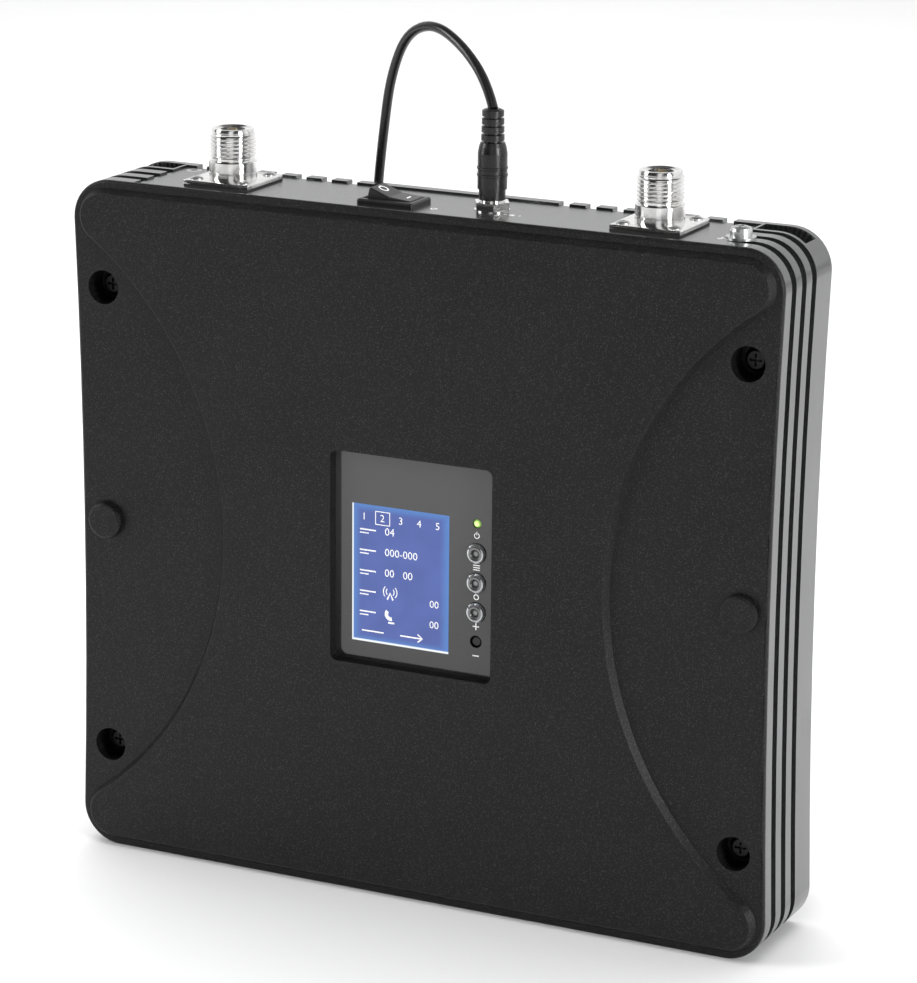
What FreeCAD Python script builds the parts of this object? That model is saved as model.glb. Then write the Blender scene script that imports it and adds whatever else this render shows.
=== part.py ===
import FreeCAD, Part
import math
import os

import Sketcher

# Cellular signal booster: a flat box that stands on its bottom face.
# Frame: X to the right, Y towards the back, Z up, in millimetres.
# Origin: middle of the bottom face.

doc = FreeCAD.newDocument("SignalBooster")
Vec = FreeCAD.Vector

# ---------------------------------------------------------------- sizes

sheet = doc.addObject("Spreadsheet::Sheet", "Sizes")
sheet_row = 0


class Size:
    """A length that is both a number and an expression on the sheet."""

    def __init__(self, value, text):
        self.value = float(value)
        self.text = text

    def __add__(self, other):
        return Size(self.value + number(other), f"({self.text} + {words(other)})")

    def __radd__(self, other):
        return Size(number(other) + self.value, f"({words(other)} + {self.text})")

    def __sub__(self, other):
        return Size(self.value - number(other), f"({self.text} - {words(other)})")

    def __rsub__(self, other):
        return Size(number(other) - self.value, f"({words(other)} - {self.text})")

    def __mul__(self, other):
        return Size(self.value * number(other), f"({self.text} * {words(other)})")

    def __rmul__(self, other):
        return Size(number(other) * self.value, f"({words(other)} * {self.text})")

    def __truediv__(self, other):
        return Size(self.value / number(other), f"({self.text} / {words(other)})")

    def __neg__(self):
        return Size(-self.value, f"(-1 * {self.text})")

    def root(self):
        return Size(math.sqrt(self.value), f"sqrt({self.text})")


def number(size):
    return size.value if isinstance(size, Size) else float(size)


def words(size):
    return size.text if isinstance(size, Size) else f"{float(size):.6f}"


def size(alias, value, note):
    """Write one driving dimension to the sheet and hand back its Size."""
    global sheet_row
    sheet_row += 1
    sheet.set(f"A{sheet_row}", note)
    sheet.set(f"B{sheet_row}", str(value))
    sheet.setAlias(f"B{sheet_row}", alias)
    return Size(value, f"Sizes.{alias}")


def bind(thing, prop, value):
    """Set a property to a number, or tie it to the sheet."""
    if isinstance(value, Size):
        thing.setExpression(prop, value.text)
    else:
        setattr(thing, prop, float(value))


wide = size("wide", 264, "housing, left to right at its corners")
tall = size("tall", 243, "housing, bottom to top")
corner = size("corner", 14, "outer corner radius seen from the front")
bow = size("bow", 2, "how far the sides pull in at mid height")
rim = size("rim", 1.6, "cover thickness at its rim")
rise = size("rise", 2.6, "how far the cover's field stands out of its rim")
shell_deep = size("shellDeep", 40.8, "housing shell, front to back")
wall = size("wallThick", 4.4, "shell wall, before its grooves")
back_plate = size("backPlate", 3, "plate between the fins and the inside")
fin_deep = size("finDeep", 4, "gaps between the cooling fins")
recess = size("recess", 0.7, "how far the end panels sit below the shell")
seam = size("seam", 108.5, "half length of the end panels' opening")
gap = size("slack", 0.2, "assembly gap round the end panels")
port_x = size("portX", 79.8, "antenna connectors, out from the middle")
port_y = size("portY", 0.4, "connectors and power socket, front to back")
well_x = size("wellX", 120.3, "cover screws, out from the middle")
well_z = size("wellZ", 83.7, "cover screws, above and below the middle")

half = wide / 2
deep = rise + rim + shell_deep
front_y = -(deep / 2)
rim_y = front_y + rise
shell_y = rim_y + rim
back_y = deep / 2
plate_y = back_y - fin_deep
inside_y = plate_y - back_plate
middle_z = tall / 2
panel_top = tall - recess
panel_low = tall - wall

# ------------------------------------------------- how pieces are made

parts = []
# An arc of a lead takes this share of its shorter run on either side of a corner.
ARC_SHARE = 0.45


def keep(piece, label):
    piece.Label = label
    parts.append(piece)
    return piece


def body(label, place=(0, 0, 0), turn=None):
    """A sub-part whose features follow; its place is tied to the sheet."""
    made = doc.addObject("PartDesign::Body", label)
    if turn is not None:
        made.Placement = FreeCAD.Placement(Vec(0, 0, 0), FreeCAD.Rotation(*turn))
    for axis, value in zip("xyz", place):
        bind_place(made, axis, value)
    return keep(made, label)


def bind_place(thing, axis, value):
    if isinstance(value, Size):
        thing.setExpression(f"Placement.Base.{axis}", value.text)
    else:
        spot = thing.Placement.copy()
        setattr(spot.Base, axis, float(value))
        thing.Placement = spot


def origin_plane(owner, role):
    return next(item for item in owner.Origin.OriginFeatures if item.Role == role)


def sketch_on(owner, plane, at):
    """An empty sketch on XY, XZ or YZ, moved out along the third axis."""
    made = owner.newObject("Sketcher::SketchObject", owner.Label + "_outline")
    made.AttachmentSupport = [(origin_plane(owner, plane + "_Plane"), "")]
    made.MapMode = "FlatFace"
    offset = -at if plane == "XZ" else at
    if isinstance(offset, Size):
        made.setExpression("AttachmentOffset.Base.z", offset.text)
    else:
        made.AttachmentOffset = FreeCAD.Placement(Vec(0, 0, offset), FreeCAD.Rotation())
    return made


def fix(sketch, kind, *where_and_value):
    *where, value = where_and_value
    index = sketch.addConstraint(Sketcher.Constraint(kind, *where, number(value)))
    if isinstance(value, Size):
        sketch.setExpression(f"Constraints[{index}]", value.text)


def circle(sketch, x, z, radius):
    centre = Vec(number(x), number(z), 0)
    edge = sketch.addGeometry(Part.Circle(centre, Vec(0, 0, 1), number(radius)), False)
    fix(sketch, "Radius", edge, radius)
    fix(sketch, "DistanceX", edge, 3, x)
    fix(sketch, "DistanceY", edge, 3, z)


def arc_between(start, end, radius, turn):
    """Arc of under half a circle; turn is 1 to the left and -1 to the right."""
    chord = end.sub(start)
    reach = math.sqrt(radius ** 2 - chord.Length ** 2 / 4)
    side = Vec(-chord.y, chord.x, 0).normalize()
    centre = (start + end) / 2 + side * reach * turn
    first, last = (start, end) if turn > 0 else (end, start)
    begin = math.atan2(first.y - centre.y, first.x - centre.x)
    finish = math.atan2(last.y - centre.y, last.x - centre.x)
    whole = Part.Circle(centre, Vec(0, 0, 1), radius)
    return Part.ArcOfCircle(whole, begin, finish)


def loop(sketch, steps):
    """Closed outline: each step is (x, z) or (x, z, radius, turn) to arrive by."""
    edges = []
    for index, step in enumerate(steps):
        last = steps[index - 1]
        start = Vec(number(last[0]), number(last[1]), 0)
        end = Vec(number(step[0]), number(step[1]), 0)
        if len(step) == 2:
            edge = sketch.addGeometry(Part.LineSegment(start, end), False)
            edges.append((edge, 1, 2))
        else:
            arc = arc_between(start, end, number(step[2]), step[3])
            edge = sketch.addGeometry(arc, False)
            fix(sketch, "Radius", edge, step[2])
            edges.append((edge, 1, 2) if step[3] > 0 else (edge, 2, 1))
    for index, (edge, _, finish) in enumerate(edges):
        after, begin, _ = edges[(index + 1) % len(edges)]
        sketch.addConstraint(Sketcher.Constraint("Coincident", edge, finish, after, begin))
        fix(sketch, "DistanceX", edge, finish, steps[index][0])
        fix(sketch, "DistanceY", edge, finish, steps[index][1])


def rectangle(x_low, x_high, z_low, z_high):
    return [(x_low, z_high), (x_high, z_high), (x_high, z_low), (x_low, z_low)]


def rounded(x_low, x_high, z_low, z_high, radius):
    """Rectangle with round corners, walked clockwise from its top left."""
    return [
        (x_low + radius, z_high, radius, -1),
        (x_high - radius, z_high),
        (x_high, z_high - radius, radius, -1),
        (x_high, z_low + radius),
        (x_high - radius, z_low, radius, -1),
        (x_low + radius, z_low),
        (x_low, z_low + radius, radius, -1),
        (x_low, z_high - radius),
    ]


def draw(sketch, shapes):
    for shape in shapes:
        if len(shape) == 3 and not isinstance(shape[0], tuple):
            circle(sketch, *shape)
        else:
            loop(sketch, shape)


def pad(owner, plane, at, length, shapes):
    """Add material from `at` towards the plane's third axis."""
    sketch = sketch_on(owner, plane, at)
    draw(sketch, shapes)
    made = owner.newObject("PartDesign::Pad", owner.Label + "_pad")
    made.Profile = sketch
    bind(made, "Length", length)
    made.Reversed = plane == "XZ"
    return made


def cut(owner, plane, at, length, shapes):
    """Take material away from `at` towards the plane's third axis."""
    sketch = sketch_on(owner, plane, at)
    draw(sketch, shapes)
    made = owner.newObject("PartDesign::Pocket", owner.Label + "_cut")
    made.Profile = sketch
    bind(made, "Length", length)
    made.Reversed = plane != "XZ"
    return made


def repeat(owner, feature, axis, length, count, backwards):
    """Copy a feature along an axis of its own sketch."""
    made = owner.newObject("PartDesign::LinearPattern", owner.Label + "_row")
    made.Originals = [feature]
    made.Direction = (feature.Profile[0], [axis])
    bind(made, "Length", length)
    made.Occurrences = count
    made.Reversed = backwards
    owner.Tip = made
    return made


def turned(label, profile, place, turn=None):
    """Solid of revolution; the profile holds (radius, height) corners."""
    owner = body(label, place, turn)
    sketch = sketch_on(owner, "XZ", 0)
    loop(sketch, profile)
    made = owner.newObject("PartDesign::Revolution", label + "_turned")
    made.Profile = sketch
    made.ReferenceAxis = (sketch, ["V_Axis"])
    made.Angle = 360
    return owner


def soften(owner, kind, amount, wanted):
    """Fillet or chamfer the edges that `wanted` picks by their middles."""
    owner.recompute(True)
    names = []
    for index, edge in enumerate(owner.Shape.Edges):
        middle = edge.valueAt((edge.FirstParameter + edge.LastParameter) / 2)
        if wanted(edge, middle):
            names.append(f"Edge{index + 1}")
    made = owner.newObject("PartDesign::" + kind, owner.Label + "_" + kind)
    made.Base = (owner.Group[-2], names)
    bind(made, "Radius" if kind == "Fillet" else "Size", amount)
    return made


def solid(label, shape):
    """A piece whose shape is made directly, already in its place."""
    made = doc.addObject("Part::Feature", label)
    made.Shape = shape
    made.Placement = FreeCAD.Placement()
    return keep(made, label)


def copies(label, template, places):
    """One node for identical pieces: the template moved to each place."""
    template.recompute(True)
    shapes = []
    for place in places:
        shape = template.Shape.copy()
        move = FreeCAD.Placement(Vec(*[number(value) for value in place]), FreeCAD.Rotation())
        shape.Placement = move.multiply(shape.Placement)
        shapes.append(shape)
    parts.remove(template)
    return solid(label, Part.makeCompound(shapes))


def tube(path, radius):
    """Round tube along straight runs joined by tangent arcs."""
    start = path.Edges[0]
    heading = start.tangentAt(start.FirstParameter)
    mouth = Part.Wire(Part.Circle(start.valueAt(start.FirstParameter), heading, radius).toShape())
    swept = path.makePipeShell([mouth], True, True)
    return swept


def rounded_path(points, name):
    """Runs between points, each corner taken by the largest arc its runs allow."""
    spots = [Vec(*point) for point in points]
    edges = []
    radii = []
    here = spots[0]
    for before, spot, after in zip(spots, spots[1:], spots[2:]):
        came = (spot - before).normalize()
        goes = (after - spot).normalize()
        half_turn = came.getAngle(goes) / 2
        shorter = min((spot - before).Length, (after - spot).Length)
        radius = ARC_SHARE * shorter / math.tan(half_turn)
        reach = radius * math.tan(half_turn)
        begin = spot - came * reach
        finish = spot + goes * reach
        inward = (goes - came).normalize()
        centre = spot + inward * (radius / math.cos(half_turn))
        middle = centre - inward * radius
        edges.append(Part.LineSegment(here, begin).toShape())
        edges.append(Part.Arc(begin, middle, finish).toShape())
        radii.append(round(radius, 1))
        here = finish
    edges.append(Part.LineSegment(here, spots[-1]).toShape())
    print(name, "arc radii", radii)
    return Part.Wire(edges)


# ------------------------------------------------------- housing shell

panel_screw_x = size("panelScrewX", 103.5, "end panel screws, out from the middle")
panel_screw_y = size("panelScrewY", 14.6, "end panel screws, front to back")
well_r = size("wellRadius", 6, "corner screw wells")
well_deep = size("wellDeep", 9.5, "screw wells, below the rim face")
fin_wide = size("finWide", 6, "one cooling fin")
fin_gap = size("finGap", 3.9, "space between two fins")
fin_shift = size("finShift", -3, "middle of the fin pattern")
pad_half = size("padHalf", 38.2, "half width of the plain pad on the back")
FIN_GAPS = 7
groove_wide = size("grooveWide", 4.1, "one groove round the sides")
groove_deep = size("grooveDeep", 2.6, "depth of the grooves")
groove_step = size("grooveStep", 8.95, "from one groove to the next")
groove_from = size("grooveFrom", 5, "from the shell's front edge to the first groove")
GROOVES = 3
vent_deep = size("ventDeep", 3.4, "corner pockets, below the surface")
vent_long = size("ventLong", 9, "corner pockets, front to back")
vent_from = size("ventFrom", 11.9, "corner pockets' back edge, from the housing's back")
post_r = size("postRadius", 4.5, "posts that take the cover screws")
thread_r = size("threadRadius", 2, "M4 screw holes")
post_low = size("postFront", 11.2, "posts' front ends, behind the cover's rim face")
board_y = size("boardFront", 7, "front face of the main board")
board_thick = size("boardThick", 1.6, "circuit boards")
bolt_x = size("boltX", 60, "wall bracket holes, left to right")
bolt_z = size("boltZ", 180, "wall bracket holes, bottom to top")
bolt_r = size("boltRadius", 2, "wall bracket holes")
bolt_deep = size("boltDeep", 5.5, "wall bracket holes")

bow_radius = ((middle_z - corner) * (middle_z - corner) + bow * bow) / (2 * bow)


def housing_outline(inset):
    """Round-cornered outline whose two sides bow inwards."""
    side = half - inset
    bend = corner - inset
    flat = half - corner
    return [
        (-flat, tall - inset, bend, -1),
        (flat, tall - inset),
        (side, tall - corner, bend, -1),
        (side, corner, bow_radius, 1),
        (flat, inset, bend, -1),
        (-flat, inset),
        (-side, corner, bend, -1),
        (-side, tall - corner, bow_radius, 1),
    ]


corner_wells = [(side * well_x, middle_z + level * well_z) for side in (-1, 1) for level in (-1, 1)]
side_wells = [(side * well_x, middle_z) for side in (-1, 1)]
well_spots = corner_wells + side_wells
board_spots = [(side * 98, level) for side in (-1, 1) for level in (18, 118, 218)]

shell = body("housing_shell")
pad(shell, "XZ", shell_y, shell_deep, [housing_outline(0)])
cut(shell, "XZ", shell_y, shell_deep - fin_deep - back_plate, [housing_outline(wall)])
for low, high in ((panel_low, tall + 1), (-1, wall)):
    cut(shell, "XZ", shell_y, plate_y - shell_y, [rectangle(-seam, seam, low, high)])
grooves = cut(shell, "XZ", shell_y + groove_from, groove_wide,
              [housing_outline(-1), housing_outline(groove_deep)])
repeat(shell, grooves, "N_Axis", groove_step * (GROOVES - 1), GROOVES, True)

pad(shell, "XZ", inside_y - 6.2, 6.2,
    [rectangle(side * panel_screw_x - 4.6, side * panel_screw_x + 4.6, low, low + 12)
     for side in (-1, 1) for low in (panel_low - 12, wall)])
for low in (panel_low - 5.5, wall - 1):
    cut(shell, "XY", low, 6.5, [(side * panel_screw_x, panel_screw_y, 1.6) for side in (-1, 1)])
cut(shell, "XZ", shell_y, well_deep + 0.2,
    [rectangle(x - well_r - 1.15, x + well_r + 1.15, z - well_r - 1.15, z + well_r + 1.15)
     for x, z in corner_wells])
pad(shell, "XZ", rim_y + post_low, inside_y - rim_y - post_low,
    [(x, z, post_r) for x, z in well_spots])
cut(shell, "XZ", rim_y + post_low, 18, [(x, z, thread_r) for x, z in well_spots])
pad(shell, "XZ", board_y + board_thick, inside_y - board_y - board_thick,
    [(x, z, 3.5) for x, z in board_spots])
cut(shell, "XZ", board_y + board_thick, 6, [(x, z, 1.5) for x, z in board_spots])

for side in (-1, 1):
    near = fin_shift + side * pad_half
    far = near + side * fin_gap
    low, high = (near, far) if side > 0 else (far, near)
    slot = cut(shell, "XZ", plate_y, fin_deep + 1, [rectangle(low, high, -1, tall + 1)])
    repeat(shell, slot, "H_Axis", (fin_wide + fin_gap) * (FIN_GAPS - 1), FIN_GAPS, side < 0)

cut(shell, "XZ", back_y - bolt_deep, bolt_deep,
    [(fin_shift + side * bolt_x / 2, middle_z + level * bolt_z / 2, bolt_r)
     for side in (-1, 1) for level in (-1, 1)])

# The pockets run from the flat top round the first part of each corner.
POCKET_TURN = math.radians(40)
pocket_in = corner - vent_deep
pocket_out = corner + 1
pocket_x = half - corner
pocket_z = tall - corner
leans = (math.sin(POCKET_TURN), math.cos(POCKET_TURN))
for side in (-1, 1):
    cut(shell, "XZ", back_y - vent_from, vent_long, [[
        (side * (seam + 1), tall + 1),
        (side * pocket_x, tall + 1),
        (side * (pocket_x + pocket_out * leans[0]), pocket_z + pocket_out * leans[1], pocket_out, -side),
        (side * (pocket_x + pocket_in * leans[0]), pocket_z + pocket_in * leans[1]),
        (side * pocket_x, tall - vent_deep, pocket_in, side),
        (side * (seam + 1), tall - vent_deep),
    ]])

ground_x = size("groundX", 111.4, "earth screw, out from the middle")
ground_y = size("groundY", -6.9, "earth screw, front to back")
cut(shell, "XY", tall - 11, 12, [(ground_x, ground_y, thread_r)])

# ---------------------------------------------------------- end panels

flange_hole = size("flangeHole", 9.13, "connector screws, out from its middle")
switch_x = size("switchX", -14.8, "rocker switch, left to right")
switch_y = size("switchY", -5.4, "rocker switch, front to back")
socket_x = size("socketX", 19, "power socket, left to right")


def end_panel(label, low, high):
    """Flat plate that closes the shell's top or bottom."""
    plate = body(label)
    pad(plate, "XY", low, high - low,
        [rectangle(-(seam - gap), seam - gap, shell_y + gap, plate_y - gap / 2)])
    return plate


def screw_sinks(plate, face, outward):
    """Screw holes with a flat countersink."""
    spots = [(side * panel_screw_x, panel_screw_y) for side in (-1, 1)]
    cut(plate, "XY", panel_low - 1 if outward > 0 else -1, 9, [(x, y, 1.6) for x, y in spots])
    start = face - 1.2 if outward > 0 else face - 1
    cut(plate, "XY", start, 2.2, [(x, y, 3.2) for x, y in spots])


top_panel = end_panel("top_panel", panel_low, panel_top)
screw_sinks(top_panel, panel_top, 1)
ports = [(side * port_x, port_y) for side in (-1, 1)]
port_screws = [(x + dx * flange_hole, y + dy * flange_hole)
               for x, y in ports for dx in (-1, 1) for dy in (-1, 1)]
cut(top_panel, "XY", panel_low - 1, 6, [(x, y, 5.2) for x, y in ports])
cut(top_panel, "XY", panel_low - 1, 6, [(x, y, 1.55) for x, y in port_screws])
cut(top_panel, "XY", panel_low - 1, 6,
    [rectangle(switch_x - 9.7, switch_x + 9.7, switch_y - 6.6, switch_y + 6.6),
     (socket_x, port_y, 4.1)])
bottom_panel = end_panel("bottom_panel", recess, wall)
screw_sinks(bottom_panel, recess, -1)


DOWN = (Vec(1, 0, 0), 0)
UP = (Vec(1, 0, 0), 180)
TO_FRONT = (Vec(1, 0, 0), 90)
TO_BACK = (Vec(1, 0, 0), -90)


def cross_slots(owner, top, head):
    """Two crossed slots in the top of a screw's head."""
    long, wide = head * 0.5, head * 0.1
    for across, along in ((long, wide), (wide, long)):
        cut(owner, "XY", top - head * 0.25, head, [rectangle(-across, across, -along, along)])
    return owner


def screw(label, turn, head, head_high, shank, length):
    """Pan head screw whose head sits on its origin; the turn aims its head."""
    profile = [(0, head_high), (head * 0.7, head_high), (head, head_high * 0.45), (head, 0),
               (shank, 0), (shank, -length), (0, -length)]
    return cross_slots(turned(label, profile, (0, 0, 0), turn), head_high, head)


def flat_screw(label, turn):
    """Countersunk screw for the end panels."""
    profile = [(0, 0), (3, 0), (3, -0.3), (1.5, -1.1), (1.5, -8), (0, -8)]
    return cross_slots(turned(label, profile, (0, 0, 0), turn), 0, 3)


sunk = 0.05
copies("top_panel_screws", flat_screw("top_screw", DOWN),
       [(side * panel_screw_x, panel_screw_y, panel_top - sunk) for side in (-1, 1)])
copies("bottom_panel_screws", flat_screw("bottom_screw", UP),
       [(side * panel_screw_x, panel_screw_y, recess + sunk) for side in (-1, 1)])

# --------------------------------------------------------- front cover

field_inset = size("fieldInset", 3.6, "field's edge at half height, from the cover's edge")
field_slope = size("fieldSlope", 1.7, "width of the field's sloped edge")
lobe = size("lobeRadius", 9.2, "field's corner lobes")
waist = size("waistX", 72.7, "field's half width at its waist")
sweep = size("waistRadius", 124.6, "arcs that narrow the field")
side_well_r = size("sideWellRadius", 4.4, "screw wells under the two plugs")
window_x = size("windowX", 0.6, "middle of the window opening")
window_half = size("windowHalf", 30.6, "half width of the window opening")
window_tall = size("windowTall", 37.45, "half height of the window opening")
EDGE_ROUND = 1.1
FIELD_ROUND = 0.6

sweep_x = waist + sweep
lobe_z = middle_z - field_inset - lobe


def field_outline(grow):
    """Hourglass: straight top and bottom, four lobes, two large hollow arcs."""
    small = lobe + grow
    large = sweep - grow
    apart = small + large
    lobe_x = sweep_x - (apart * apart - lobe_z * lobe_z).root()
    run = sweep_x - lobe_x
    touch_x = sweep_x - large * run / apart
    touch_z = large * lobe_z / apart
    high = middle_z + lobe_z + small
    low = middle_z - lobe_z - small
    return [
        (-lobe_x, high),
        (lobe_x, high),
        (touch_x, middle_z + touch_z, small, -1),
        (touch_x, middle_z - touch_z, large, 1),
        (lobe_x, low, small, -1),
        (-lobe_x, low),
        (-touch_x, middle_z - touch_z, small, -1),
        (-touch_x, middle_z + touch_z, large, 1),
        (-lobe_x, high, small, -1),
    ][1:]


cover = body("front_cover")
pad(cover, "XZ", rim_y, rim, [housing_outline(0)])
soften(cover, "Fillet", EDGE_ROUND, lambda edge, middle: middle.y < rim_y.value + 0.01)
foot = sketch_on(cover, "XZ", rim_y)
draw(foot, [field_outline(field_slope / 2)])
face = sketch_on(cover, "XZ", front_y)
draw(face, [field_outline(-(field_slope / 2))])
field = cover.newObject("PartDesign::AdditiveLoft", "cover_field")
field.Profile = foot
field.Sections = [face]
field.Ruled = True
cover.Tip = field
soften(cover, "Fillet", FIELD_ROUND, lambda edge, middle: middle.y < front_y.value + 0.01)
window_low = middle_z - window_tall
window_high = middle_z + window_tall
collar = 6
cut(cover, "XZ", rim_y - 0.3, rim + 0.3,
    [field_outline(-5), rectangle(window_x - window_half - collar, window_x + window_half + collar,
                                  window_low - collar, window_high + collar)])
cut(cover, "XZ", front_y - 1, deep / 4,
    [rounded(window_x - window_half, window_x + window_half, window_low, window_high, 2.5)])
for spots, radius, skin in ((corner_wells, well_r, 1), (side_wells, side_well_r, 0.7)):
    pad(cover, "XZ", shell_y - 0.5, well_deep + 2 - rim, [(x, z, radius + skin) for x, z in spots])
    cut(cover, "XZ", front_y, well_deep + rise, [(x, z, radius) for x, z in spots])
cut(cover, "XZ", front_y, well_deep + rise + 3, [(x, z, thread_r + 0.2) for x, z in well_spots])

copies("cover_screws", screw("cover_screw", TO_FRONT, 4.2, 2.9, 1.95, 12),
       [(x, rim_y + well_deep, z) for x, z in well_spots])
for label, side in (("cover_plug_left", -1), ("cover_plug_right", 1)):
    turned(label, [(0, 2.5), (5.6, 2.5), (6.35, 2.2), (6.6, 1.5), (6.6, 0), (4.2, 0), (4.2, -4),
                   (3.8, -5), (0, -5)], (side * well_x, rim_y, middle_z), TO_FRONT)

# ------------------------------------------------------------- display

key_x = size("keyX", 23.7, "column of keys")
key_step = size("keyStep", 10.4, "from one key to the next")
key_top = size("keyTop", 128.3, "highest key, above the bottom")
key_r = size("keyRadius", 3.45, "key caps")
key_travel = size("keyTravel", 0.4, "how far a key goes in")
lcd_x = size("lcdX", -5.1, "middle of the screen")
lcd_z = size("lcdZ", 115.6, "middle of the screen")
pane = size("paneThick", 2, "clear window")
pane_back = shell_y + pane
display_y = size("displayY", -8.5, "front face of the display board")
switch_front = display_y - 3.6
key_spots = [key_top - key_step * index for index in range(4)]
led_z = key_top + key_step

pane_plate = body("display_window")
pad(pane_plate, "XZ", shell_y, pane, [rounded(window_x - 33.5, window_x + 33.5,
                                              middle_z - 40.3, middle_z + 40.3, 2)])
cut(pane_plate, "XZ", shell_y - 1, pane + 2,
    [(key_x, z, key_r + 0.2) for z in key_spots[:3]]
    + [(key_x, key_spots[3], 2.2), (key_x, led_z, 1.6)])

glass = body("lcd_glass")
pad(glass, "XZ", pane_back + 0.2, 2.3, [rounded(lcd_x - 21.3, lcd_x + 21.3, lcd_z - 30, lcd_z + 30, 0.8)])
light = body("lcd_backlight")
pad(light, "XZ", pane_back + 2.5, display_y - pane_back - 2.5,
    [rounded(lcd_x - 21.6, lcd_x + 21.6, lcd_z - 30.3, lcd_z + 30.3, 1)])

post_spots = [(window_x + dx, middle_z + dz) for dx in (-30, 30) for dz in (-36.6, 36.6)]
board = body("display_board")
pad(board, "XZ", display_y, board_thick, [rounded(window_x - 33, window_x + 33,
                                                  middle_z - 39.6, middle_z + 39.6, 2)])
cut(board, "XZ", display_y - 1, board_thick + 2, [(x, z, 1.3) for x, z in post_spots])

spacer = body("display_spacer")
pad(spacer, "XZ", pane_back, display_y - pane_back, [(0, 0, 2.2), (0, 0, 1.25)])
copies("display_spacers", spacer, [(x, 0, z) for x, z in post_spots])
copies("display_screws", screw("display_screw", TO_BACK, 2.3, 1.6, 1.2, 6),
       [(x, display_y + board_thick, z) for x, z in post_spots])

cell = body("key_switch")
pad(cell, "XZ", switch_front, display_y - switch_front, [rounded(-3, 3, -3, 3, 0.4)])
copies("key_switches", cell, [(key_x, 0, z) for z in key_spots])

led_long = display_y - shell_y + 0.4
turned("run_led", [(0, led_long), (0.7, led_long - 0.15), (1.2, led_long - 0.6), (1.5, led_long - 1.4),
                   (1.5, 1), (1.9, 1), (1.9, 0), (0, 0)],
       (key_x, display_y, led_z), TO_FRONT)

# A key's height is measured forwards from the front of its switch.
key_foot = key_travel + 0.1
key_face = switch_front - shell_y + 1.5
for label, z in zip(("key_menu", "key_set", "key_increase"), key_spots):
    turned(label, [(0, key_face - 0.9), (1.1, key_face - 0.9), (1.7, key_face - 0.1), (2.3, key_face),
                   (3.0, key_face - 0.25), (key_r, key_face - 0.9), (key_r, key_face - 3),
                   (1.2, key_face - 3), (1.2, key_foot), (0, key_foot)],
           (key_x, switch_front, z), TO_FRONT)
turned("key_decrease", [(0, key_face - 2), (1.4, key_face - 2), (1.75, key_face - 2.35),
                        (1.75, key_foot), (0, key_foot)],
       (key_x, switch_front, key_spots[3]), TO_FRONT)

# --------------------------------------------------- antenna connectors

nut_r = size("portThread", 7.94, "connector thread, outside radius")
flange_half = size("flangeHalf", 12.7, "half of the connector's square flange")
seal_thick = 0.5
flange_thick = 1.6
seal_z = panel_top + seal_thick
flange_z = seal_z + flange_thick
rim_z = size("portTop", 261.6, "connectors' rims, above the bottom")
neck_z = flange_z + 6.1
thread_low = neck_z + 0.7
thread_high = rim_z - 1.6
SIDES = (("left", -1), ("right", 1))

for name, side in SIDES:
    spot = side * port_x
    screws = [(dx * flange_hole, dy * flange_hole, 1.55) for dx in (-1, 1) for dy in (-1, 1)]
    square = rounded(-flange_half, flange_half, -flange_half, flange_half, 0.8)

    seal = body(f"port_{name}_seal", (spot, port_y, 0))
    pad(seal, "XY", panel_top, seal_thick, [square, (0, 0, 5.2)] + screws)

    port = body(f"port_{name}_body", (spot, port_y, 0))
    pad(port, "XY", seal_z, flange_thick, [square] + screws)
    pad(port, "XY", panel_top - 5.2, neck_z - panel_top + 5.2, [(0, 0, 4.9)])
    pad(port, "XY", seal_z + 1, neck_z - seal_z - 1, [(0, 0, 8.3)])
    pad(port, "XY", neck_z - 0.5, thread_low - neck_z + 0.5, [(0, 0, 7.2)])
    pad(port, "XY", thread_low, thread_high - thread_low, [(0, 0, nut_r)])
    pad(port, "XY", thread_high, rim_z - thread_high, [(0, 0, 7.2)])
    cut(port, "XY", panel_top - 6, 60, [(0, 0, 3.5)])
    cut(port, "XY", rim_z - 12, 13, [(0, 0, 4.25)])

    collar_ring = body(f"port_{name}_insulator", (spot, port_y, 0))
    pad(collar_ring, "XY", panel_top - 5, rim_z - 12 - panel_top + 5, [(0, 0, 3.48), (0, 0, 1.5)])

    turned(f"port_{name}_contact",
           [(0, panel_top - 9), (1, panel_top - 9), (1, panel_top - 5), (1.48, panel_top - 5),
            (1.48, rim_z - 3), (1.3, rim_z - 2.6), (0.85, rim_z - 2.6), (0.85, rim_z - 8), (0, rim_z - 8)],
           (spot, port_y, 0))

    fixing = screw(f"port_{name}_screw", DOWN, 2.3, 0.8, 1.5, 6)
    copies(f"port_{name}_screws", fixing,
           [(spot + dx * flange_hole, port_y + dy * flange_hole, flange_z)
            for dx in (-1, 1) for dy in (-1, 1)])

# ------------------------------------------------------- rocker switch

pivot_z = size("rockerPivot", 241.8, "rocker's pivot, above the bottom")
rocker_tilt = size("rockerTilt", 13, "rocker's tilt to either side, degrees")
bezel_deep = 14
bezel = body("switch_body", (switch_x, switch_y, 0))
pad(bezel, "XY", panel_top, 2, [rounded(-10.5, 10.5, -7.5, 7.5, 1)])
soften(bezel, "Fillet", 0.8, lambda edge, middle: middle.z > panel_top.value + 1.9)
pad(bezel, "XY", panel_top - bezel_deep, bezel_deep, [rectangle(-9.6, 9.6, -6.5, 6.5)])
cut(bezel, "XY", pivot_z - 8.2, 20, [rectangle(-8.95, 8.95, -5.45, 5.45)])
cut(bezel, "XZ", -7, 14, [(0, pivot_z, 1.25)])

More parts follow.
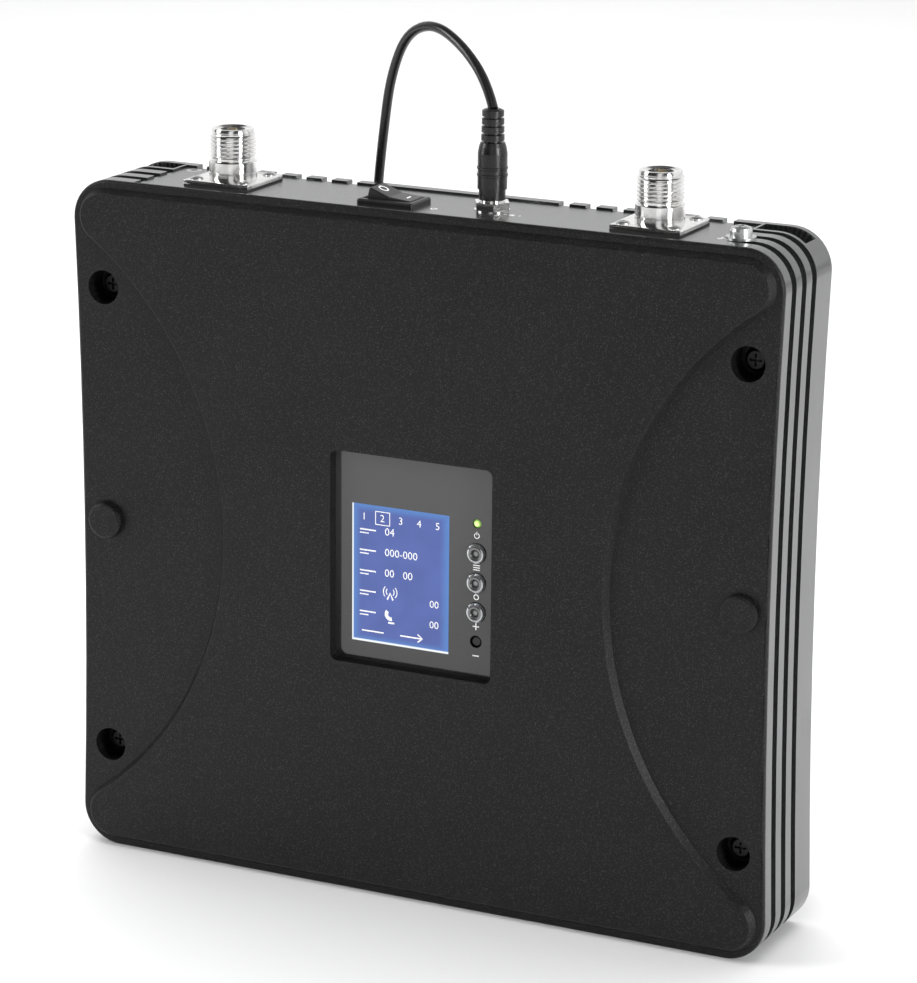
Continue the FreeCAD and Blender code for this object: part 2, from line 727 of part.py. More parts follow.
rocker = body("rocker", (switch_x, switch_y, pivot_z), (Vec(0, 1, 0), 13))
rocker_half = 7.9
pad(rocker, "XZ", -5.2, 10.4, [[
    (-rocker_half, 4.65), (0, 3.6), (rocker_half, 4.65), (rocker_half, -1.5),
    (5.2, -5.8), (-5.2, -5.8), (-rocker_half, -1.5)]])
soften(rocker, "Fillet", 0.5, lambda edge, middle: middle.z > 4.5)
pad(rocker, "XZ", -6.2, 12.4, [(0, 0, 1.2)])

blade = body("switch_blade", (0, 0, 0))
pad(blade, "XY", panel_top - bezel_deep - 7, 7, [rectangle(-0.4, 0.4, -2.4, 2.4)])
copies("switch_terminals", blade, [(switch_x + dx, switch_y, 0) for dx in (-6, 1)])

# -------------------------------------------------- power socket and plug

turned("power_socket", [
    (2.85, panel_low - 9.5), (5.2, panel_low - 9.5), (5.2, panel_low - 0.1), (4, panel_low - 0.1),
    (4, panel_top + 3.6), (2.85, panel_top + 3.6)], (socket_x, port_y, 0))
turned("socket_pin", [(0, panel_low - 12.5), (2.8, panel_low - 12.5), (2.8, panel_low - 9.6),
                      (1, panel_low - 9.6), (1, panel_low + 3), (0, panel_low + 3)],
       (socket_x, port_y, 0))
turned("socket_washer", [(4.05, panel_top), (6, panel_top), (6, panel_top + 0.4), (4.05, panel_top + 0.4)],
       (socket_x, port_y, 0))
nut_low = panel_top + 0.4
nut = body("socket_nut", (socket_x, port_y, 0))
nut_corner = 5.5 / math.cos(math.pi / 6)
hexagon = [(nut_corner * math.cos(math.pi / 3 * step), -nut_corner * math.sin(math.pi / 3 * step))
           for step in range(6)]
pad(nut, "XY", nut_low, 2.6, [hexagon, (0, 0, 4.05)])

grip_low = panel_top + 3.7
turned("plug_barrel", [(1.1, panel_low - 8.5), (2.75, panel_low - 8.5), (2.75, grip_low), (1.1, grip_low)],
       (socket_x, port_y, 0))
grip_top = size("gripTop", 276.5, "top of the plug's strain relief, above the bottom")
body_low = grip_low + 3.6
body_high = grip_low + 19.2
relief = [(0, grip_top), (2.5, grip_top)]
for step in range(4):
    ring = grip_top - 0.6 - step * 2.7
    thick = 3.7 + 0.08 * step
    relief += [(thick, ring), (thick, ring - 1.9), (2.9, ring - 2), (2.9, ring - 2.55)]
turned("plug_grip", relief + [
    (4.1, body_high), (4.6, body_high - 1.4), (5, body_high - 3.6),
    (5, body_low + 7.6), (5.25, body_low + 7.4), (5.25, body_low + 6.8), (5, body_low + 6.6),
    (5, body_low + 5.2), (5.25, body_low + 5.0), (5.25, body_low + 4.4), (5, body_low + 4.2),
    (5, body_low), (4.5, body_low), (4.5, grip_low), (0, grip_low)], (socket_x, port_y, 0))

# --------------------------------------------------------- earth screw

earth = (ground_x, ground_y)
turned("earth_washer", [(2.15, 0), (5, 0), (5, 0.9), (2.15, 0.9)], (*earth, tall))
turned("earth_lock_washer", [(2.1, 0), (3.6, 0), (3.6, 0.9), (2.1, 0.9)], (*earth, tall + 0.9))
ground = turned("earth_screw", [(0, 2.4), (2.2, 2.4), (3.3, 1.9), (3.7, 0.9), (3.7, 0), (1.95, 0),
                               (1.95, -11), (0, -11)], (*earth, tall + 1.8))
cross_slots(ground, 2.4, 3.7)

# ---------------------------------------------------------- inside parts

board_half = size("boardHalf", 106, "half width of the main board")
board_low = size("boardLow", 10, "main board's lower edge, above the bottom")
board_high = size("boardHigh", 226, "main board's upper edge, above the bottom")
board_back = board_y + board_thick

main_board = body("main_board")
pad(main_board, "XZ", board_y, board_thick, [rectangle(-board_half, board_half, board_low, board_high)])
cut(main_board, "XZ", board_y - 1, board_thick + 2, [(x, z, 1.6) for x, z in board_spots])
copies("board_screws", screw("board_screw", TO_FRONT, 2.8, 2, 1.45, 7),
       [(x, board_y, z) for x, z in board_spots])


def boxes(label, front, thick, spots, radius):
    """One node of equal-depth blocks; each spot is (x low, x high, z low, z high)."""
    shapes = []
    for x_low, x_high, z_low, z_high in spots:
        block = Part.makeBox(x_high - x_low, number(thick), z_high - z_low,
                             Vec(x_low, number(front), z_low))
        upright = [edge for edge in block.Edges if abs(edge.tangentAt(0).y) > 0.9]
        shapes.append(block.makeFillet(radius, upright))
    return solid(label, Part.makeCompound(shapes))


boxes("shield_cans", board_y - 7, 7,
      [(-92, -40, 150, 210), (40, 92, 150, 210), (-92, -45, 60, 112), (45, 92, 60, 112)], 2)
boxes("duplexers", board_y - 9, 9,
      [(-34, -4, 160, 200), (4, 34, 160, 200), (-92, -45, 122, 144), (45, 92, 122, 144)], 1)
boxes("thermal_pads", board_back + 0.05, inside_y - board_back - 0.1,
      [(-80, -50, 165, 195), (50, 80, 165, 195), (-80, -55, 75, 100), (55, 80, 75, 100)], 1)
boxes("power_module", board_y - 11, 11, [(-30, 32, 24, 66)], 2)

PIGTAIL_RADIUS = 1.5
LEAD_RADIUS = 1.1
port_end = number(panel_top) - 9.05
for name, side in SIDES:
    x = side * number(port_x)
    route = [(x, 0.4, port_end), (x, 0.4, port_end - 7), (x, 5.3, port_end - 13),
             (x - side * 7, 5.3, port_end - 18)]
    solid(f"pigtail_{name}", tube(rounded_path(route, f"pigtail_{name}"), PIGTAIL_RADIUS))

# Red lead from the socket to the switch, black lead from the socket to the board.
pin_end = number(panel_low) - 12.6
tab_end = number(panel_top) - bezel_deep - 7.1
leads = [
    [(17.5, 0.4, pin_end), (17.5, 0.4, pin_end - 14), (10, -2, pin_end - 19), (-4, -4, pin_end - 20),
     (-13.8, -5.4, tab_end - 11), (-13.8, -5.4, tab_end)],
    [(20.5, 0.4, pin_end), (20.5, 0.4, pin_end - 10), (21, 2, pin_end - 18), (21, 5.7, pin_end - 22)],
]
solid("power_leads", Part.makeCompound(
    [tube(rounded_path(route, "power_lead"), LEAD_RADIUS) for route in leads]))

ribbon = body("display_ribbon")
ribbon_front = display_y + board_thick + 0.05
ribbon_back = board_y - 0.05
pad(ribbon, "YZ", window_x - 8, 16, [[
    (ribbon_front, 96), (ribbon_front + 1.2, 96), (ribbon_front + 1.2, 88.5), (ribbon_back - 1.2, 80.5),
    (ribbon_back - 1.2, 74), (ribbon_back, 74), (ribbon_back, 81.3), (ribbon_front, 89.3)]])

# ------------------------------------------------------------ power cord

# The lead rises out of the plug, loops over the back and drops behind the
# housing to a small coil on the floor, then goes into the mains adapter.
CORD_RADIUS = 1.7
cord_route = [
    (19.0, 0.4, 276.5),
    (15.6, 2.2, 285.0),
    (3.8, 7.8, 295.4),
    (-10.6, 14.9, 300.9),
    (-23.9, 21.2, 295.4),
    (-31.8, 25.2, 279.5),
    (-35.3, 27.2, 261.5),
    (-38.6, 28.6, 238.0),
    (-40.6, 29.8, 203.0),
    (-38.4, 30.6, 160.0),
    (-40.2, 30.2, 112.0),
    (-38.0, 30.9, 72.0),
    (-38.6, 30.6, 44.0),
    (-35.4, 30.9, 24.0),
    (-25.5, 31.5, 8.0),
    (-9.0, 31.4, 1.75),
    (6.0, 31.6, 1.75),
]
tail_route = [
    (6.0, 31.6, 5.15),
    (20.0, 31.9, 5.8),
    (32.0, 36.6, 13.4),
    (47.0, 39.0, 16.0),
]
coil_x = 6
coil_y = 54
coil_turn = 19
coil_half = 5.3
coil_high = 6.9
main_path = rounded_path(cord_route, "power_cord")
tail_path = rounded_path(tail_route, "power_cord_tail")
for label, path in (("power_cord", main_path), ("power_cord_tail", tail_path)):
    lead = tube(path, CORD_RADIUS)
    expected = math.pi * CORD_RADIUS ** 2 * path.Length
    print(label, "length", round(path.Length, 1), "volume ratio", round(lead.Volume / expected, 4))
    solid(label, lead)
turned("power_cord_coil", [
    (coil_turn - coil_half, 1.6), (coil_turn - coil_half + 1.5, 0.05), (coil_turn + coil_half - 1.5, 0.05),
    (coil_turn + coil_half, 1.6), (coil_turn + coil_half, coil_high - 1.6),
    (coil_turn + coil_half - 1.5, coil_high), (coil_turn - coil_half + 1.5, coil_high),
    (coil_turn - coil_half, coil_high - 1.6)], (coil_x, coil_y, 0))

adapter_x = size("adapterX", 59, "mains adapter's left end")
adapter_long = size("adapterLong", 56, "mains adapter, left to right")
adapter_y = size("adapterY", 28, "mains adapter's front face")
adapter_deep = size("adapterDeep", 28, "mains adapter, front to back")
adapter_tall = size("adapterTall", 40, "mains adapter, bottom to top")
adapter = body("adapter_housing")
pad(adapter, "XZ", adapter_y, adapter_deep,
    [rounded(adapter_x, adapter_x + adapter_long, 0, adapter_tall, 4)])
soften(adapter, "Fillet", 1.5, lambda edge, middle: edge.Length > 5 and (
    abs(middle.y - adapter_y.value) < 0.01 or abs(middle.y - adapter_y.value - adapter_deep.value) < 0.01))
relief_z = 16
relief_y = 39
turned("adapter_relief", [(0, 0), (4.6, 0), (4.4, 2), (3.8, 2.6), (3.6, 5), (3.2, 5.6), (3, 8),
                          (2.6, 8.6), (2.4, 12), (0, 12)],
       (adapter_x - 0.02, relief_y, relief_z), (Vec(0, 1, 0), -90))
prong = body("prong")
pad(prong, "XZ", adapter_y + adapter_deep, 16, [rounded(-0.75, 0.75, -3.15, 3.15, 0.5)])
copies("adapter_prongs", prong, [(adapter_x + adapter_long / 2 + dx, 0, 21) for dx in (-6.35, 6.35)])

# ------------------------------------------------- check and write all

doc.recompute()
for thing in doc.Objects:
    if {"Invalid", "Error"} & set(thing.State):
        raise RuntimeError(f"{thing.Label} did not compute: {thing.getStatusString()}")
    if thing.TypeId == "PartDesign::Pocket":
        lost = thing.BaseFeature.Shape.Volume - thing.Shape.Volume
        if lost < 0.01:
            raise RuntimeError(f"{thing.Label} cut nothing")
os.makedirs("parts", exist_ok=True)
for piece in parts:
    if piece.Shape.isNull() or not piece.Shape.isValid():
        raise RuntimeError(f"{piece.Label} has no valid shape")
    piece.Shape.exportStep(f"parts/{piece.Label}.step")
print(len(parts), "sub-parts written")
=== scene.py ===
import math

import bpy
import numpy as np
from mathutils import Matrix, Vector


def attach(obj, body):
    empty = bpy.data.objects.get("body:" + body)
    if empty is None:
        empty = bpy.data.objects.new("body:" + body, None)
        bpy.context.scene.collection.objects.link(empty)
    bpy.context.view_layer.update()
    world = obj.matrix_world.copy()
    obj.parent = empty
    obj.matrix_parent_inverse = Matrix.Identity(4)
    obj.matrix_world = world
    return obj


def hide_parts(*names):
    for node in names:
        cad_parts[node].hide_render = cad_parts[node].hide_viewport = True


# A cellular signal booster that stands on a pale table. Lengths are in millimetres
# where they are written down and become metres where a mesh or object is made.

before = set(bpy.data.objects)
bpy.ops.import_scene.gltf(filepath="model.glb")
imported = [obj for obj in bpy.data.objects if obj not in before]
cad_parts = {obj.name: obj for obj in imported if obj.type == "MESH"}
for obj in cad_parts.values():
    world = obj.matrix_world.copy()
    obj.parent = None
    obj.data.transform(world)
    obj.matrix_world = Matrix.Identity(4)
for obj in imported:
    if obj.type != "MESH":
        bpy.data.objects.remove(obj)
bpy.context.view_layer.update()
MM = 0.001
TURN = 2 * math.pi

# ------------------------------------------------------------------ camera

EYE = (562.95, -1140.40, 492.80)
HEADING = 0.4484
DIP = 0.2766
ROLL = 0.0108

ahead = Vector((-math.sin(HEADING) * math.cos(DIP), math.cos(HEADING) * math.cos(DIP),
                -math.sin(DIP)))
level = Vector((math.cos(HEADING), math.sin(HEADING), 0))
upright = level.cross(ahead)
right = level * math.cos(ROLL) + upright * math.sin(ROLL)
above = upright * math.cos(ROLL) - level * math.sin(ROLL)
lens = bpy.data.cameras.new("camera")
lens.lens = 140.97
lens.sensor_width = 36
lens.shift_x = -0.0173
lens.shift_y = 0.0309
lens.clip_end = 50
camera = bpy.data.objects.new("camera", lens)
turned = Matrix((right, above, -ahead)).transposed()
camera.matrix_world = Matrix.Translation(Vector(EYE) * MM) @ turned.to_4x4()
bpy.context.collection.objects.link(camera)
bpy.context.scene.camera = camera

# -------------------------------------------------------------- power cord

CORD_ROUTE = [
    (19.0, 0.4, 276.5),
    (15.6, 2.2, 285.0),
    (3.8, 7.8, 295.4),
    (-10.6, 14.9, 300.9),
    (-23.9, 21.2, 295.4),
    (-31.8, 25.2, 279.5),
    (-35.3, 27.2, 261.5),
    (-38.6, 28.6, 238.0),
    (-40.6, 29.8, 203.0),
    (-38.4, 30.6, 160.0),
    (-40.2, 30.2, 112.0),
    (-38.0, 30.9, 72.0),
    (-38.6, 30.6, 44.0),
    (-35.4, 30.9, 24.0),
    (-25.5, 31.5, 8.0),
    (-9.0, 31.4, 1.75),
]
TAIL_ROUTE = [
    (20.0, 31.9, 5.8),
    (32.0, 36.6, 13.4),
    (47.0, 39.0, 16.0),
]
CORD_THICK = 3.4
COIL_MIDDLE = (6.0, 54.0)
COIL_RADII = (22.6, 19.0, 15.4, 15.4, 19.0, 22.6)
COIL_LOW = 1.75
COIL_HIGH = 5.2
POINTS_A_TURN = 16
LOWER_TURNS = 3
STEP_SHARE = 0.2


def coil_points():
    """Six turns, three beside each other and three on top: each keeps its radius,
    then steps over to the next one's; the third climbs to the upper layer."""
    points = []
    for step in range(POINTS_A_TURN * len(COIL_RADII) + 1):
        turn, part = divmod(step / POINTS_A_TURN, 1)
        turn = int(turn)
        last = len(COIL_RADII) - 1
        here = COIL_RADII[min(turn, last)]
        after = COIL_RADII[min(turn + 1, last)]
        begin = 1 - STEP_SHARE if turn < LOWER_TURNS else 1 - 2 * STEP_SHARE
        share = min(max((part - begin) / STEP_SHARE, 0), 1)
        share = share * share * (3 - 2 * share)
        radius = here + (after - here) * share
        height = COIL_LOW if turn < LOWER_TURNS - 1 else COIL_HIGH
        if turn == LOWER_TURNS - 1:
            height = COIL_LOW + (COIL_HIGH - COIL_LOW) * share
        angle = TURN * part - TURN / 4
        points.append((COIL_MIDDLE[0] + radius * math.cos(angle),
                       COIL_MIDDLE[1] + radius * math.sin(angle), height))
    return points


cord_curve = bpy.data.curves.new("power_lead", "CURVE")
cord_curve.dimensions = "3D"
cord_curve.bevel_depth = CORD_THICK / 2 * MM
cord_curve.bevel_resolution = 4
cord_curve.resolution_u = 6
cord_curve.use_fill_caps = True
cord_points = CORD_ROUTE + coil_points() + TAIL_ROUTE
spline = cord_curve.splines.new("NURBS")
spline.points.add(len(cord_points) - 1)
for place, point in zip(spline.points, cord_points):
    place.co = (*[value * MM for value in point], 1)
spline.order_u = 3
spline.use_endpoint_u = True
cord = bpy.data.objects.new("power_lead", cord_curve)
bpy.context.collection.objects.link(cord)

# ---------------------------------------------------------- shader writing


class Value:
    """A shader socket that sums and products can be written with."""

    def __init__(self, finish, socket):
        self.finish = finish
        self.socket = socket

    def maths(self, operation, *others):
        """A Math node on this value and the others."""
        return self.finish.node("ShaderNodeMath", dict(enumerate((self, *others))), operation=operation)

    def __add__(self, other):
        return self.maths("ADD", other)

    __radd__ = __add__

    def __mul__(self, other):
        return self.maths("MULTIPLY", other)

    __rmul__ = __mul__

    def __sub__(self, other):
        return self.maths("SUBTRACT", other)

    def __rsub__(self, other):
        return (self * -1) + other

    def __abs__(self):
        return self.maths("ABSOLUTE")

    def power(self, other):
        return self.maths("POWER", other)

    def most(self, other):
        return self.maths("MAXIMUM", other)

    def wave(self):
        return self.maths("SINE")

    def ramp(self, low, high, start=0.0, finish=1.0):
        """Smooth step from start to finish as the value goes from low to high."""
        return self.finish.node("ShaderNodeMapRange", {
            "Value": self, "From Min": low, "From Max": high, "To Min": start, "To Max": finish},
            interpolation_type="SMOOTHSTEP")


class Finish:
    """One material: a Principled shader and the nodes that feed it."""

    def __init__(self, name, **sockets):
        self.material = bpy.data.materials.new(name)
        self.material.use_nodes = True
        self.tree = self.material.node_tree
        self.tree.nodes.clear()
        self.shader = self.tree.nodes.new("ShaderNodeBsdfPrincipled")
        out = self.tree.nodes.new("ShaderNodeOutputMaterial")
        self.tree.links.new(self.shader.outputs[0], out.inputs[0])
        for socket, value in sockets.items():
            self.set(socket.replace("_", " "), value)

    def set(self, socket, value):
        self.feed(self.shader.inputs[socket], value)

    def feed(self, socket, value):
        if isinstance(value, Value):
            self.tree.links.new(value.socket, socket)
        elif isinstance(value, (tuple, list)) and len(value) == 3 and socket.type == "RGBA":
            socket.default_value = (*value, 1)
        else:
            socket.default_value = value

    def node(self, kind, sockets, out=0, **settings):
        """A node of one kind: its settings first, then its sockets' values or links."""
        made = self.tree.nodes.new(kind)
        for name, value in settings.items():
            setattr(made, name, value)
        for name, value in sockets.items():
            self.feed(made.inputs[name], value)
        return Value(self, made.outputs[out])

    def place(self):
        """The point on the piece, in metres."""
        return self.node("ShaderNodeTexCoord", {}, out="Object")

    def axes(self):
        """The three parts of that point."""
        point = self.place()
        split = self.tree.nodes.new("ShaderNodeSeparateXYZ")
        self.tree.links.new(point.socket, split.inputs[0])
        return [Value(self, split.outputs[i]) for i in range(3)]

    def noise(self, size, detail=3.0, stretch=(1, 1, 1)):
        """Cloudy noise whose blotches are `size` millimetres wide."""
        moved = self.node("ShaderNodeMapping", {
            "Vector": self.place(), "Scale": tuple(1 / part for part in stretch)})
        return self.node("ShaderNodeTexNoise", {
            "Vector": moved, "Scale": 1000 / size, "Detail": detail, "Roughness": 0.55})

    def grains(self, size):
        """One random number for each cell of a grainy surface."""
        cells = self.node("ShaderNodeTexVoronoi", {
            "Vector": self.place(), "Scale": 1000 / size}, out="Color")
        return self.node("ShaderNodeSeparateColor", {"Color": cells}, out=0)

    def mix(self, share, first, second):
        """A colour between the first, where share is 0, and the second, where it is 1."""
        made = self.tree.nodes.new("ShaderNodeMix")
        made.data_type = "RGBA"
        self.feed(made.inputs[0], share)
        self.feed(made.inputs[6], first)
        self.feed(made.inputs[7], second)
        return Value(self, made.outputs[2])

    def bump(self, height, depth):
        """Tilt the surface as if `height` were carved `depth` millimetres deep."""
        self.set("Normal", self.node("ShaderNodeBump", {
            "Strength": 1.0, "Distance": depth * MM, "Height": height}))


def grey(level):
    """A colour with no hue."""
    return (level, level, level)


def textured_plastic(name, shade, grain, depth, rough, sparkle=0.0, gloss=1.46):
    """Moulded plastic with a fine spark-eroded grain and faint handling marks."""
    made = Finish(name, IOR=gloss)
    fine = made.noise(grain, detail=2)
    cloud = made.noise(34, detail=4)
    pits = made.grains(grain * 0.7)
    glint = pits.ramp(0.86, 1.0) * sparkle
    dark = made.mix(cloud.ramp(0.3, 0.7), grey(shade * 0.85), grey(shade * 1.2))
    made.set("Base Color", made.mix(glint, dark, grey(0.25)))
    made.set("Roughness", fine * 0.16 + cloud * 0.08 + (rough - 0.12) - glint * 0.3)
    made.bump(fine + pits * 0.5, depth)
    return made.material


def dark_anodising():
    """Black anodised aluminium: dark straight on, with a grey satin sheen at a slant."""
    made = Finish("dark_anodising", Metallic=0.9)
    fine = made.noise(0.45, detail=2)
    cloud = made.noise(42, detail=4)
    drawn = made.noise(1.6, detail=2, stretch=(1, 1, 60))
    dark = made.mix(cloud.ramp(0.25, 0.75), (0.145, 0.146, 0.148), (0.178, 0.179, 0.182))
    made.set("Base Color", made.mix(drawn.ramp(0.4, 0.7) * 0.3, dark, (0.14, 0.14, 0.142)))
    made.set("Roughness", fine * 0.08 + cloud * 0.06 + 0.17)
    made.bump(fine + drawn * 0.3, 0.012)
    return made.material


def bright_plating(name="bright_plating", shade=0.83, rough=0.12):
    """Nickel plating: bright, with faint turning rings and fingerprints."""
    made = Finish(name, Metallic=1.0)
    x, y, z = made.axes()
    rings = (z * (TURN / (0.35 * MM))).wave()
    smear = made.noise(5, detail=5)
    worn = (shade * 0.9, shade * 0.89, shade * 0.86)
    made.set("Base Color", made.mix(smear.ramp(0.35, 0.75), grey(shade), worn))
    made.set("Roughness", smear.ramp(0.4, 0.8, rough, rough + 0.14))
    made.bump(rings * 0.5 + smear, 0.01)
    return made.material


def zinc_steel():
    """Zinc plated screws and cans: grey, slightly cloudy."""
    made = Finish("zinc_steel", Metallic=1.0)
    smear = made.noise(2.2, detail=4)
    fine = made.noise(0.3)
    made.set("Base Color", made.mix(smear, (0.55, 0.56, 0.57), (0.74, 0.74, 0.73)))
    made.set("Roughness", smear * 0.2 + 0.24)
    made.bump(fine, 0.01)
    return made.material


def black_zinc():
    """Blackened steel screws."""
    made = Finish("black_zinc", Metallic=0.9)
    smear = made.noise(1.8, detail=4)
    made.set("Base Color", made.mix(smear, grey(0.012), grey(0.03)))
    made.set("Roughness", smear * 0.2 + 0.25)
    made.bump(smear, 0.01)
    return made.material


def gold_plating():
    """Gold plated contacts and prongs, slightly uneven in colour."""
    made = Finish("gold_plating", Metallic=1.0)
    smear = made.noise(1.5, detail=4)
    made.set("Base Color", made.mix(smear, (0.78, 0.55, 0.22), (0.9, 0.68, 0.32)))
    made.set("Roughness", smear * 0.15 + 0.18)
    made.bump(smear, 0.01)
    return made.material


def cord_jacket():
    """Soft extruded jacket: satin black with long, faint flow marks."""
    made = Finish("cord_jacket", IOR=1.48)
    fine = made.noise(0.6, detail=3)
    cloud = made.noise(14, detail=3)
    made.set("Base Color", made.mix(cloud, grey(0.006), grey(0.014)))
    made.set("Roughness", cloud * 0.12 + fine * 0.06 + 0.16)
    made.bump(fine + cloud, 0.02)
    return made.material


LCD_X = -5.1
LCD_Z = 115.6
LCD_WIDE = 36.9
LCD_TALL = 48.9


def smoked_window():
    """Smoked pane: dark and glossy, with the lit blue screen showing through it."""
    made = Finish("smoked_window", IOR=1.5, Coat_Weight=0.5, Coat_Roughness=0.03, Emission_Strength=1.0)
    x, y, z = made.axes()
    across = abs(x * 1000 - LCD_X)
    along = abs(z * 1000 - LCD_Z)
    soft = 0.12
    lit = across.ramp(LCD_WIDE / 2 - soft, LCD_WIDE / 2 + soft, 1, 0) \
        * along.ramp(LCD_TALL / 2 - soft, LCD_TALL / 2 + soft, 1, 0)
    edge = across.ramp(LCD_WIDE / 2 - 4, LCD_WIDE / 2).most(along.ramp(LCD_TALL / 2 - 3, LCD_TALL / 2))
    left = (x * 1000).ramp(LCD_X - LCD_WIDE / 2 + 0.3, LCD_X - LCD_WIDE / 2 + 0.7, 1, 0)
    foot = (z * 1000).ramp(LCD_Z - LCD_TALL / 2 + 0.5, LCD_Z - LCD_TALL / 2 + 0.9, 1, 0)
    cloud = made.noise(16, detail=2)
    rows = (z * (TURN * 1000 / 0.6)).wave() * (x * (TURN * 1000 / 0.6)).wave()
    blue = made.mix(cloud.ramp(0.3, 0.7), (0.034, 0.074, 0.335), (0.050, 0.102, 0.415))
    blue = made.mix(edge * 0.8, blue, (0.05, 0.215, 0.60))
    blue = made.mix(rows * 0.04, blue, (0.5, 0.6, 0.9))
    blue = made.mix(left.most(foot), blue, (0.92, 0.97, 1.0))
    # The smoked tint is painted lighter towards the top of the pane: a painted reflection.
    smoked_tint_and_sheen = made.mix((z * 1000).ramp(86, 158), grey(0.020), grey(0.046))
    smear = made.noise(7, detail=5)
    made.set("Base Color", made.mix(lit, smoked_tint_and_sheen, grey(0.004)))
    made.set("Emission Color", made.mix(lit, grey(0.0), blue))
    made.set("Roughness", smear.ramp(0.35, 0.8, 0.10, 0.20))
    made.bump(smear, 0.006)
    return made.material


def key_finish(name, high):
    """Clear moulded key: a bright rim and middle, with a dark ring between them."""
    made = Finish(name, IOR=1.5, Coat_Weight=0.6, Coat_Roughness=0.04)
    x, y, z = made.axes()
    across = x * 1000 - KEY_X
    along = z * 1000 - high
    out = (across * across + along * along).power(0.5)
    hollow = out.ramp(1.2, 1.7, 1, 0)
    dot = out.ramp(0.5, 0.9, 1, 0)
    rim = out.ramp(2.3, 2.8)
    smear = made.noise(1.4, detail=3)
    silver = made.mix(smear, (0.42, 0.44, 0.46), (0.62, 0.64, 0.66))
    shaded = made.mix(rim, grey(0.16), silver)
    shaded = made.mix(hollow, shaded, grey(0.02))
    made.set("Base Color", made.mix(dot * 0.5, shaded, silver))
    made.set("Metallic", out.ramp(1.3, 1.8, 0.1, 0.75))
    made.set("Roughness", smear * 0.1 + 0.10)
    made.bump(smear, 0.02)
    return made.material


def lamp_finish():
    """Tinted light-emitting diode, lit from inside."""
    made = Finish("lit_lamp", IOR=1.5, Coat_Weight=0.5, Emission_Strength=1.0)
    x, y, z = made.axes()
    across = x * 1000 - KEY_X
    along = z * 1000 - LAMP_Z
    out = (across * across + along * along).power(0.5)
    made.set("Base Color", made.mix(out.ramp(0.2, 1.4), (0.75, 0.95, 0.30), (0.25, 0.55, 0.10)))
    made.set("Emission Color", made.mix(out.ramp(0.1, 1.5), (0.80, 1.0, 0.35), (0.10, 0.22, 0.03)))
    made.set("Roughness", made.noise(1) * 0.1 + 0.15)
    return made.material


def board_finish():
    """Green solder mask over copper tracks, with rows of pads."""
    made = Finish("board_green", IOR=1.5, Coat_Weight=0.3)
    x, y, z = made.axes()
    tracks = (x * (TURN * 1000 / 3.1)).wave() * (z * (TURN * 1000 / 2.3)).wave()
    cloud = made.noise(6, detail=4)
    copper = (tracks + cloud).ramp(0.9, 1.1)
    green = made.mix(copper, (0.01, 0.10, 0.035), (0.03, 0.22, 0.08))
    made.set("Base Color", green)
    made.set("Roughness", cloud * 0.15 + 0.3)
    made.bump(copper, 0.04)
    return made.material


def glowing_print_finish(name, shade):
    """Screen-printed ink with a slightly rough face and a faint glow: painted light on the printed
    legends, the screen's own light on its figures.
    """
    made = Finish(name, Emission_Strength=0.25)
    fine = made.noise(0.3)
    made.set("Base Color", made.mix(fine, grey(shade * 0.92), grey(shade)))
    # The ink's shade is emitted as well: a painted glow, real only for the figures on the lit screen.
    made.set("Emission Color", made.mix(fine, grey(shade * 0.92), grey(shade)))
    made.set("Roughness", fine * 0.1 + 0.4)
    return made.material


def soft_rubber(name, shade, rough):
    """Dull flexible rubber with a little bloom."""
    made = Finish(name, IOR=1.45)
    bloom = made.noise(3.5, detail=5)
    fine = made.noise(0.4)
    made.set("Base Color", made.mix(bloom.ramp(0.3, 0.8), grey(shade), grey(shade * 1.7 + 0.004)))
    made.set("Roughness", bloom * 0.15 + fine * 0.05 + rough - 0.1)
    made.bump(fine + bloom, 0.03)
    return made.material


# ---------------------------------------------------------- making pieces


def piece(name, points, faces, finish, body="housing", slot=None, replaces=(), smooth=True):
    """A mesh from points in millimetres; it rides on a body of the frame."""
    mesh = bpy.data.meshes.new(name)
    mesh.from_pydata(np.asarray(points, float) * MM, [], [tuple(face) for face in faces])
    mesh.polygons.foreach_set("use_smooth", np.full(len(mesh.polygons), smooth))
    mesh.materials.append(finish)
    mesh.update()
    made = bpy.data.objects.new(name, mesh)
    bpy.context.collection.objects.link(made)
    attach(made, body)
    if replaces:
        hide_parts(*replaces)
    return made


def patches(rows, columns, start=0):
    """Four-sided faces of a grid of points that closes on itself across its columns."""
    row, column = np.meshgrid(np.arange(rows - 1), np.arange(columns), indexing="ij")
    after = (column + 1) % columns
    low, high = row * columns, (row + 1) * columns
    return start + np.stack([low + column, low + after, high + after, high + column], -1).reshape(-1, 4)


def revolve(radii, heights, around, centre):
    """Rings of a turned surface: radius may vary round each ring; the point is
    (radius cos a, radius sin a, height) for angles a round the axis."""
    angle = np.linspace(0, TURN, around, endpoint=False)
    radii = np.broadcast_to(np.asarray(radii, float).reshape(len(heights), -1), (len(heights), around))
    heights = np.broadcast_to(np.asarray(heights, float)[:, None], radii.shape)
    points = np.stack([centre[0] + radii * np.cos(angle), centre[1] + radii * np.sin(angle), heights], -1)
    return points.reshape(-1, 3), patches(len(radii), around)


def joined(*shapes):
    """Several sets of points and faces as one."""
    points, faces, count = [], [], 0
    for some, their in shapes:
        points.append(np.asarray(some, float))
        faces += [tuple(int(i) + count for i in face) for face in their]
        count += len(some)
    return np.vstack(points), faces


def paint(finish, *names):
    """Give carried-over CAD nodes a finish."""
    for name in names:
        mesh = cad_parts[name].data
        mesh.materials.clear()
        mesh.materials.append(finish)


# --------------------------------------------------------- plain finishes

KEY_X = 23.7
LAMP_Z = 138.7
KEY_HEIGHTS = {"key_menu": 128.3, "key_set": 117.9, "key_increase": 107.5}

